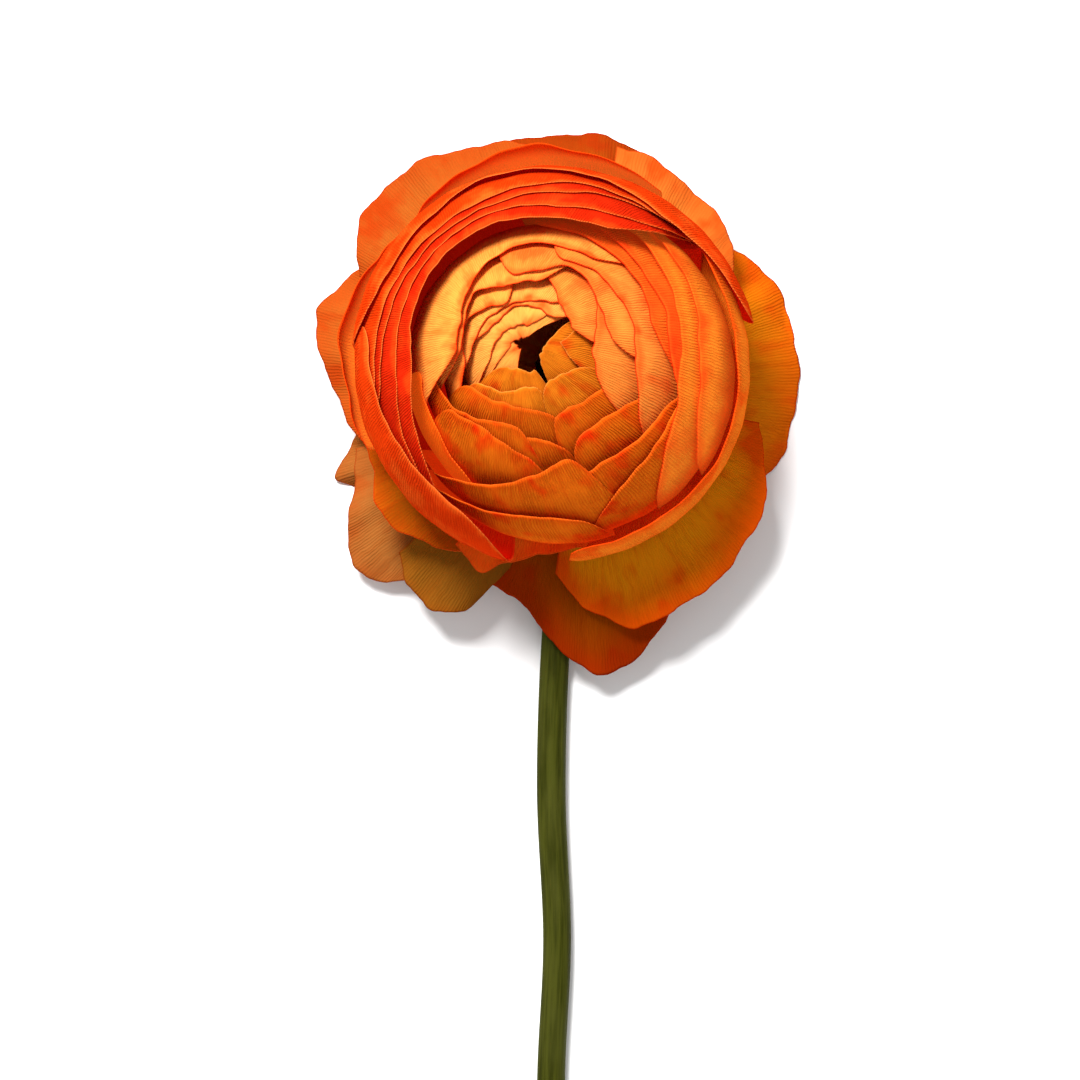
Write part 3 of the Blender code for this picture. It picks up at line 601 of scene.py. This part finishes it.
def shell_point(shell, turn, side):
    """Points of a shell at turns from its foot, 0, to its top, pi, on sides in radians."""
    waist = BALL_WAIST + WAIST_STEP * shell
    top = BALL_TOP - TOP_STEP * shell
    foot = BALL_FOOT + FOOT_STEP * shell
    inner = max(shell - HEART_SHELL, 0.0)
    lift = HEART_LIFT * (1.0 - math.exp(-inner / HEART_LIFT_RUN)) + HEART_LIFT_STEP * inner
    end = np.where(turn > math.pi / 2, top + lift, foot)
    height = waist - np.abs(end - waist) * np.cos(turn)
    axis_x, axis_y = lean(height)
    shift = shell_shift(shell, turn)
    out = shell_radius(shell) * np.sin(turn)
    return np.stack([axis_x + shift + out * np.cos(side),
                     axis_y - shift + out * np.sin(side), height], -1)


def near(bearing, middle):
    """The same bearing, within half a turn of the middle."""
    return middle + (bearing - middle + 180.0) % 360.0 - 180.0


def rim_distance(rim, bearing, softness=3.0):
    """The rim's distance at bearings, on a soft line through its points."""
    bearings = np.array([point[0] for point in rim], float)
    distances = np.array([point[1] for point in rim], float)
    total = 0.0
    weights = 0.0
    for step in (-1.5, -1.0, -0.5, 0.0, 0.5, 1.0, 1.5):
        weight = math.exp(-step * step)
        place = bearing + step * softness
        value = np.interp(place, bearings, distances)
        value = value + 0.25 * np.maximum(bearings[0] - place, 0.0)
        value = value + 0.25 * np.maximum(place - bearings[-1], 0.0)
        total = total + weight * value
        weights += weight
    return total / weights


# How closely a rim or a foot is found: halvings of its range, or rounds of better guesses.
HIGHEST_TURN = math.radians(176.0)
HALVINGS = 24
ROUNDS = 12


def rim_turn(shell, rim, side):
    """How far up its shell a petal goes on each side, for the rim to be where it shows."""
    middle = 0.5 * (rim[0][0] + rim[-1][0])
    low = np.full(side.shape, math.pi / 2)
    high = np.full(side.shape, HIGHEST_TURN)
    for _ in range(HALVINGS):
        turn = 0.5 * (low + high)
        spot = shell_point(shell, turn, side)
        bearing = near(np.degrees(np.arctan2(spot[..., 1], spot[..., 0])), middle)
        beyond = np.hypot(spot[..., 0], spot[..., 1]) > rim_distance(rim, bearing)
        low = np.where(beyond, turn, low)
        high = np.where(beyond, high, turn)
    return 0.5 * (low + high)


def shell_side(shell, bearing, distance):
    """The side of the shell's axis on which a point seen from above lies, in degrees."""
    turn = math.radians(125.0)
    side = math.radians(bearing)
    for _ in range(ROUNDS):
        axis_x, axis_y = lean(float(shell_point(shell, turn, side)[2]))
        shift = float(shell_shift(shell, turn))
        x = distance * math.cos(math.radians(bearing)) - axis_x - shift
        y = distance * math.sin(math.radians(bearing)) - axis_y + shift
        side = math.atan2(y, x)
        turn = math.pi - math.asin(min(math.hypot(x, y) / shell_radius(shell), 1.0))
    return math.degrees(side)


def foot_turn(shell, side):
    """The turn at which a shell meets the receptacle."""
    turn = np.full(np.shape(side), 0.2)
    for _ in range(ROUNDS):
        height = shell_point(shell, turn, side)[..., 2]
        out = receptacle_radius(height) + SEAT_GAP + 0.5 * PETAL_THICKNESS
        turn = np.arcsin(np.minimum(out / shell_radius(shell), 1.0))
    return turn


def waves(where, kinds, phase):
    """A sum of sine waves, each of its length and height."""
    total = 0.0
    for number, (length, height) in enumerate(kinds):
        total = total + height * np.sin(2 * math.pi * where / length + phase * (number + 1.7))
    return total


def surface_normals(points):
    """The direction out of the sheet at each of its points."""
    across = np.gradient(points, axis=1)
    along = np.gradient(points, axis=0)
    normal = np.cross(across, along)
    return normal / np.maximum(np.linalg.norm(normal, axis=-1, keepdims=True), 1e-9)


def closed_petal(shell, rim, phase, columns, rows):
    """A closed petal's points from claw to rim, and where each lies on the petal."""
    first = shell_side(shell, *rim[0])
    last = near(shell_side(shell, *rim[-1]), first + 90.0)
    middle = 0.5 * (first + last)
    spread = 0.5 * (last - first)
    claw = min(CLAW_SIDE, spread * 0.5)
    radius = shell_radius(shell)
    share = np.linspace(-1.0, 1.0, columns + 1)
    side = np.radians(middle + spread * share)
    top = rim_turn(shell, rim, side)
    length = radius * (top - math.pi / 2)
    nibble = waves(np.radians(spread * share) * radius, CLOSED_RIM, phase)
    top = top + nibble / radius * np.clip(length / 6.0, 0.0, 1.0)
    corner = (1.0 - np.abs(share) ** 14) ** 0.5
    top = math.pi / 2 + (top - math.pi / 2) * corner
    start = foot_turn(shell, np.radians(middle + claw * share))
    step = np.linspace(0.0, 1.0, rows + 1)[:, None]
    turn = start + (top - start) * step
    grown = np.sin(np.minimum(turn / 1.45, 1.0) * math.pi / 2)
    width = claw + (spread - claw) * grown ** 1.5
    angle = np.radians(middle + width * share)
    points = shell_point(shell, turn, angle)
    across = np.radians(spread) * share[None, :] * radius * np.ones_like(turn)
    along = (turn - math.pi / 2) * radius
    from_rim = (top - turn) * radius
    from_side = (1.0 - np.abs(share))[None, :] * np.radians(width) * radius
    swell = 0.10 * np.sin(across / 3.1 + phase * 2.0) * np.sin(along / 4.3 + phase)
    swell = swell + 0.06 * np.sin(across / 1.3 + phase * 5.0 + 0.6 * np.sin(along / 3.0))
    lip = np.exp(-(from_rim / 0.9) ** 2) * (0.05 + 0.05 * np.sin(across / 2.2 + phase))
    away = np.clip((turn - start) / 0.5, 0.0, 1.0)
    points = points + surface_normals(points) * ((swell * away + lip)[..., None])
    return points, across, along, from_rim, from_side


def flared_petal(shell, rim, phase, columns, rows):
    """A petal that follows its shell to the waist, then opens outwards to its outline."""
    axis_x, axis_y = lean(float(shell_point(shell, FLARE_END, 0.0)[2]))
    bearing = np.linspace(rim[0][0], rim[-1][0], columns + 1)
    distance = rim_distance(rim, bearing)
    x = distance * np.cos(np.radians(bearing)) - axis_x
    y = distance * np.sin(np.radians(bearing)) - axis_y
    side = near(np.degrees(np.arctan2(y, x)), bearing)
    radius = shell_radius(shell)
    extra = np.maximum(np.hypot(x, y) - radius * math.sin(FLARE_END), 0.0)
    middle = 0.5 * (rim[0][0] + rim[-1][0])
    half = 0.5 * abs(rim[-1][0] - rim[0][0])
    share = np.linspace(-1.0, 1.0, columns + 1)
    run = np.radians(share * half) * radius
    end = FLARE_END + waves(run, FLARED_RIM, phase) / radius
    end = end - 0.16 * np.abs(share) ** 10
    start = foot_turn(shell, np.radians(side))
    step = np.linspace(0.0, 1.0, rows + 1)[:, None]
    turn = start + (end - start) * step
    opened = np.maximum((turn - FLARE_START) / (FLARE_END - FLARE_START), 0.0) ** 1.6
    grown = np.sin(np.minimum(turn / 1.45, 1.0) * math.pi / 2)
    angle = np.radians(middle + (side - middle) * (0.5 + 0.5 * grown ** 1.5))
    points = shell_point(shell, turn, angle)
    points[..., 0] += extra * opened * np.cos(angle)
    points[..., 1] += extra * opened * np.sin(angle)
    ripple = 0.35 * np.sin(run / 3.4 + phase) + 0.12 * np.sin(run / 1.5 + phase * 3.0)
    points = points + surface_normals(points) * (ripple * np.clip(opened, 0, 1) ** 2)[..., None]
    across = run * np.ones_like(turn)
    from_side = (1.0 - np.abs(share)) * np.radians(half) * radius * np.ones_like(turn)
    return points, across, (turn - math.pi / 2) * radius, (end - turn) * radius, from_side


def open_petal(level, rim_height, lateness, arch, rim, phase, columns, rows):
    """An open petal's points from claw to outline, and where each lies on the petal."""
    foot = GUARD_FOOT - GUARD_FOOT_STEP * level
    axis_x, axis_y = lean(foot)
    out = float(receptacle_radius(foot)) + SEAT_GAP + 0.5 * GUARD_THICKNESS
    bearing = np.linspace(rim[0][0], rim[-1][0], columns + 1)
    distance = rim_distance(rim, bearing, 1.2)
    x = distance * np.cos(np.radians(bearing)) - axis_x
    y = distance * np.sin(np.radians(bearing)) - axis_y
    reach = np.hypot(x, y)
    side = np.degrees(np.arctan2(y, x))
    middle = side[columns // 2]
    side = near(side, middle)
    rim_run = np.concatenate([[0.0], np.cumsum(np.hypot(np.diff(x), np.diff(y)))])
    reach = reach + waves(rim_run, OPEN_RIM, phase)
    step = np.linspace(0.0, 1.0, rows + 1)[:, None]
    far = out + (reach - out) * step
    widened = np.sin(np.minimum(step * 1.5 + 0.12, 1.0) * math.pi / 2)
    angle = np.radians(middle + (side - middle) * widened)
    height = foot + (rim_height - foot) * step ** lateness + arch * np.sin(math.pi * step)
    share = np.linspace(-1.0, 1.0, columns + 1)[None, :]
    run = rim_run[None, :] * np.ones_like(step)
    ruffle = waves(run, OPEN_RUFFLE, phase * 1.3)
    height = height + ruffle * step ** 3
    height = height + 0.05 * np.sin(run / 1.7 + phase) * np.sin(far / 6.0) * step
    height = np.maximum(height, LOWEST_PETAL)
    points = np.stack([axis_x + far * np.cos(angle), axis_y + far * np.sin(angle),
                       height * np.ones_like(angle)], -1)
    across = (run - rim_run[-1] / 2) * np.ones_like(angle)
    # Along counts from 30 mm out, so that the painted shade round the waist falls on the guards
    # where they lie in the ball's shadow.
    along = (far - 30.0) * np.ones_like(angle)
    from_rim = (reach - far) * np.ones_like(angle)
    from_side = (1.0 - np.abs(share)) * np.radians(abs(side[-1] - side[0]) / 2) * far
    return points, across, along, from_rim, from_side


def sepal(bearing, columns, rows):
    """A sepal's points from its foot to its blunt tip."""
    foot = RECEPTACLE_FOOT + 0.4
    axis_x, axis_y = lean(foot)
    out = float(receptacle_radius(foot)) + SEAT_GAP + 0.5 * SEPAL_THICKNESS
    step = np.linspace(0.0, 1.0, rows + 1)[:, None]
    share = np.linspace(-1.0, 1.0, columns + 1)[None, :]
    half_width = 3.2 + 3.4 * np.sin(math.pi * np.minimum(step * 0.95, 1.0)) - 1.6 * step ** 3
    distance = out + (SEPAL_LENGTH - out) * step - 3.6 * step ** 2 * share ** 2
    distance = distance - 0.7 * share ** 2 * (1.0 - step)
    sideways = half_width * share
    angle = math.radians(bearing)
    height = foot - SEPAL_DROOP * step ** 1.2 + 0.9 * share ** 2 * step
    height = height + 0.12 * np.sin(step * 16.0 + bearing) * share ** 2
    points = np.stack([axis_x + distance * math.cos(angle) - sideways * math.sin(angle),
                       axis_y + distance * math.sin(angle) + sideways * math.cos(angle),
                       height], -1)
    from_side = half_width * (1.0 - np.abs(share))
    return points, sideways, distance, (SEPAL_LENGTH - distance), from_side


def add_layer(mesh, name, first, second):
    """A UV map that holds two numbers of each point."""
    layer = mesh.uv_layers.new(name=name)
    loops = np.empty(len(mesh.loops), int)
    mesh.loops.foreach_get("vertex_index", loops)
    layer.data.foreach_set("uv", np.stack([first[loops], second[loops]], -1).ravel())


def lay_petal(name, form, thickness, front, back, tint):
    """A flat grid laid on the petal's form, thickened and smoothed."""
    points, across, along, from_rim, from_side = form
    rows, columns = points.shape[0] - 1, points.shape[1] - 1
    bpy.ops.object.select_all(action="DESELECT")
    bpy.ops.mesh.primitive_grid_add(x_subdivisions=columns, y_subdivisions=rows, size=2.0)
    petal = bpy.context.object
    petal.name = name
    mesh = petal.data
    flat = np.empty(len(mesh.vertices) * 3)
    mesh.vertices.foreach_get("co", flat)
    flat = flat.reshape(-1, 3)
    column = np.rint((flat[:, 0] + 1.0) * columns / 2).astype(int)
    row = np.rint((flat[:, 1] + 1.0) * rows / 2).astype(int)
    placed = points[row, column] + np.array([EYE_X, EYE_Y, 0.0])
    mesh.vertices.foreach_set("co", (placed * MM).ravel())
    while mesh.uv_layers:
        mesh.uv_layers.remove(mesh.uv_layers[0])
    add_layer(mesh, "grain", across[row, column], along[row, column])
    add_layer(mesh, "edge", from_rim[row, column], from_side[row, column])
    mesh.materials.append(front)
    mesh.materials.append(back)
    mesh.update()
    thicken = petal.modifiers.new("thickness", "SOLIDIFY")
    thicken.thickness = thickness * MM
    thicken.offset = 0.0
    thicken.material_offset = 1
    bpy.ops.object.modifier_apply(modifier="thickness")
    bpy.ops.object.shade_smooth()
    shade = mesh.attributes.new("tint", "FLOAT", "POINT")
    shade.data.foreach_set("value", np.full(len(mesh.vertices), tint))
    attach(petal, "root")
    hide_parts(name)


FULL_TURN = 6.283


def petal_tint(name):
    """A number of its own for each petal, from the letters of its name."""
    return (sum(ord(letter) * (place + 3) for place, letter in enumerate(name)) % 97) / 97.0


# The closed petals' finishes: a petal's own, or else its group's.
OWN_SKINS = {
    "heart_petal_1": AMBER, "heart_petal_2": AMBER, "heart_petal_4": AMBER,
    "heart_petal_6": AMBER, "heart_petal_8": AMBER, "right_petal_1": BALL,
    "right_petal_2": BALL, "right_petal_3": FLUSHED, "right_petal_4": FLUSHED,
    "lower_petal_5": SHADED, "ring_petal_4": RING_DEEP, "ring_petal_5": RING_DEEP,
    "ring_petal_6": RING_DEEP}
GROUP_SKINS = {"heart": HEART, "left": LEFT, "right": RIGHT, "lower": LOWER, "ring": RING,
               "outer": OUTER}


# The closed petals, then the flared ones, the open ones and the sepals.
for name, (shell, rim) in CLOSED_PETALS.items():
    tint = petal_tint(name)
    if name in EYE_PETALS:
        rim = [(bearing, max(distance - EYE_DRAW, NEAREST_THE_EYE))
               for bearing, distance in rim]
    form = closed_petal(shell, rim, tint * FULL_TURN, *CLOSED_GRID)
    group = name.split("_")[0]
    skin = OWN_SKINS.get(name, GROUP_SKINS[group])
    inner_skin = RING_INSIDE if skin in (RING, RING_DEEP) else skin
    slot = "ring_petals" if group in ("ring", "outer") else "ball_petals"
    lay_petal(name, form, PETAL_THICKNESS, skin, inner_skin, tint)
for name, (shell, rim) in FLARED_PETALS.items():
    tint = petal_tint(name)
    form = flared_petal(shell, rim, tint * FULL_TURN, *CLOSED_GRID)
    lay_petal(name, form, PETAL_THICKNESS, OUTER, OUTER_INSIDE, tint)

GUARD_SKINS = {
    "guard_1": PALE, "guard_2": FLAME, "guard_3": SUNLIT, "guard_4": OCHRE, "guard_5": DUSK,
    "guard_6": UMBER, "guard_7": CREAM, "guard_8": PEACH, "guard_9": PEACH, "guard_10": PALE,
    "inner_guard_1": OUTER, "inner_guard_2": RUST}
for name, (*habit, rim) in OPEN_PETALS.items():
    tint = petal_tint(name)
    form = open_petal(*habit, rim, tint * FULL_TURN, *OPEN_GRID)
    slot = "ring_petals" if name.startswith("inner") else "open_petals"
    lay_petal(name, form, GUARD_THICKNESS, BACK, GUARD_SKINS[name], tint)

for number, bearing in enumerate(SEPAL_BEARINGS, start=1):
    form = sepal(bearing, *SEPAL_GRID)
    lay_petal(f"sepal_{number}", form, SEPAL_THICKNESS, SEPAL, SEPAL, number / 7.0)


def smooth_line(points, steps):
    """Points on a smooth line through the given ones."""
    ends = [2 * Vector(points[0]) - Vector(points[1])]
    ends += [Vector(point) for point in points]
    ends.append(2 * Vector(points[-1]) - Vector(points[-2]))
    line = []
    for before, start, stop, after in zip(ends, ends[1:], ends[2:], ends[3:]):
        for step in range(steps):
            t = step / steps
            line.append(0.5 * (2 * start + (stop - before) * t
                               + (2 * before - 5 * start + 4 * stop - after) * t ** 2
                               + (3 * start - before - 3 * stop + after) * t ** 3))
    line.append(Vector(points[-1]))
    return line


def grow_stem():
    """The stem drawn out from its cut end, ring by ring, into the receptacle."""
    line = [(point, STEM_RADIUS) for point in smooth_line(STEM_LINE, STEM_STEPS)]
    neck = line[-1][0].z
    for share in np.linspace(0.0, 1.0, NECK_RINGS + 1)[1:].tolist():
        height = neck + (RECEPTACLE_FOOT - NECK_GAP - neck) * share
        line.append((Vector((*lean(height), height)), STEM_RADIUS + NECK_SPREAD * share ** 2))
    for height in np.linspace(RECEPTACLE_FOOT, RECEPTACLE_TOP, RECEPTACLE_RINGS).tolist():
        line.append((Vector((*lean(height), height)), float(receptacle_radius(height))))
    form = bmesh.new()
    grain = form.loops.layers.uv.new("grain")
    rings = []
    runs = []
    side_way = Vector((1, 0, 0))
    run = 0.0
    for index, (point, radius) in enumerate(line):
        ahead = line[min(index + 1, len(line) - 1)][0] - line[max(index - 1, 0)][0]
        ahead = ahead.normalized() if point.z < RECEPTACLE_FOOT - 1.0 else Vector((0, 0, 1))
        side_way = (side_way - ahead * side_way.dot(ahead)).normalized()
        up_way = ahead.cross(side_way)
        run += (point - line[max(index - 1, 0)][0]).length
        ring = []
        for corner in range(STEM_SIDES):
            angle = 2 * math.pi * corner / STEM_SIDES
            rib = 1.0 + 0.012 * math.sin(5 * angle + run / 60) + 0.008 * math.sin(9 * angle + 1)
            slim = radius * (0.985 + 0.02 * math.sin(run / 17.0)) * rib
            place = point + slim * (math.cos(angle) * side_way + math.sin(angle) * up_way)
            place += Vector((EYE_X, EYE_Y, 0.0))
            place.z = max(place.z, 0.0)
            ring.append(form.verts.new(place * MM))
        rings.append(ring)
        runs.append(run)
    for index, (lower, upper) in enumerate(zip(rings, rings[1:])):
        for corner in range(STEM_SIDES):
            following = (corner + 1) % STEM_SIDES
            face = form.faces.new((lower[corner], lower[following],
                                   upper[following], upper[corner]))
            face.smooth = True
            around = [corner, corner + 1, corner + 1, corner]
            ups = [runs[index], runs[index], runs[index + 1], runs[index + 1]]
            for loop, a, b in zip(face.loops, around, ups):
                loop[grain].uv = (a * 2 * math.pi * STEM_RADIUS / STEM_SIDES, b)
    for ring in (list(reversed(rings[0])), rings[-1]):
        face = form.faces.new(ring)
        for loop in face.loops:
            loop[grain].uv = (loop.vert.co.x / MM, loop.vert.co.z / MM)
    bmesh.ops.recalc_face_normals(form, faces=form.faces)
    mesh = bpy.data.meshes.new("stem_skin")
    form.to_mesh(mesh)
    form.free()
    mesh.materials.append(STEM)
    piece = bpy.data.objects.new("stem_skin", mesh)
    bpy.context.collection.objects.link(piece)
    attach(piece, "root")
    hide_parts("stem")


grow_stem()


def set_knob():
    """The dark knob of carpels on top of the receptacle."""
    height = RECEPTACLE_TOP + SEAT_GAP + KNOB_HALF_HEIGHT
    axis_x, axis_y = lean(height)
    bpy.ops.object.select_all(action="DESELECT")
    bpy.ops.mesh.primitive_uv_sphere_add(
        segments=48, ring_count=32, radius=1.0,
        location=((EYE_X + axis_x) * MM, (EYE_Y + axis_y) * MM, height * MM))
    knob = bpy.context.object
    knob.name = "carpel_knob"
    knob.scale = (KNOB_RADIUS * MM, KNOB_RADIUS * MM, KNOB_HALF_HEIGHT * MM)
    bpy.ops.object.transform_apply(location=True, rotation=True, scale=True)
    bpy.ops.object.shade_smooth()
    knob.data.materials.append(CARPEL)
    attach(knob, "root")
    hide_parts("carpel_head")


set_knob()


# ---------------------------------------------------------------- floor, light and camera

# Lengths are in metres from here on.
FLOOR_SIZE = 8.0
FLOOR_GREY = (0.86, 0.86, 0.86, 1.0)
SKY_STRENGTH = 0.56
LAMP_AIM = 0.03
CAMERA_HEIGHT = 3.0

bpy.ops.mesh.primitive_plane_add(size=FLOOR_SIZE, location=(0, 0, 0))
floor = bpy.context.object
floor.name = "floor"
pale = Paint("pale_floor", 0.9, specular=0.1)
pale.shader.inputs["Base Color"].default_value = FLOOR_GREY
floor.data.materials.append(pale.material)

world = bpy.data.worlds.new("studio")
world.use_nodes = True
sky = world.node_tree.nodes["Background"]
sky.inputs[0].default_value = (1.0, 1.0, 1.0, 1.0)
sky.inputs[1].default_value = SKY_STRENGTH
bpy.context.scene.world = world


def softbox(name, bearing, rise, distance, size, power):
    """A square lamp that faces the bloom."""
    lamp = bpy.data.lights.new(name, "AREA")
    lamp.size = size
    lamp.energy = power
    piece = bpy.data.objects.new(name, lamp)
    bpy.context.collection.objects.link(piece)
    level = math.cos(math.radians(rise))
    toward = Vector((math.cos(math.radians(bearing)) * level,
                     math.sin(math.radians(bearing)) * level, math.sin(math.radians(rise))))
    target = Vector((EYE_X * MM, EYE_Y * MM, LAMP_AIM))
    piece.location = target + toward * distance
    piece.rotation_euler = (-toward).to_track_quat("-Z", "Y").to_euler()


softbox("key", bearing=116.0, rise=58.0, distance=1.3, size=0.36, power=36.0)
softbox("fill", bearing=300.0, rise=60.0, distance=1.6, size=1.2, power=3.0)

# The camera looks straight down, a little below the bloom, so that the stem is in view.
lens = bpy.data.cameras.new("camera")
lens.sensor_width = 36.0
lens.lens = 526.0
lens.clip_end = 20.0
camera = bpy.data.objects.new("camera", lens)
bpy.context.collection.objects.link(camera)
camera.location = ((EYE_X + 1.31) * MM, (EYE_Y - 35.3) * MM, CAMERA_HEIGHT)
bpy.context.scene.camera = camera
bpy.context.scene.view_settings.view_transform = "Standard"
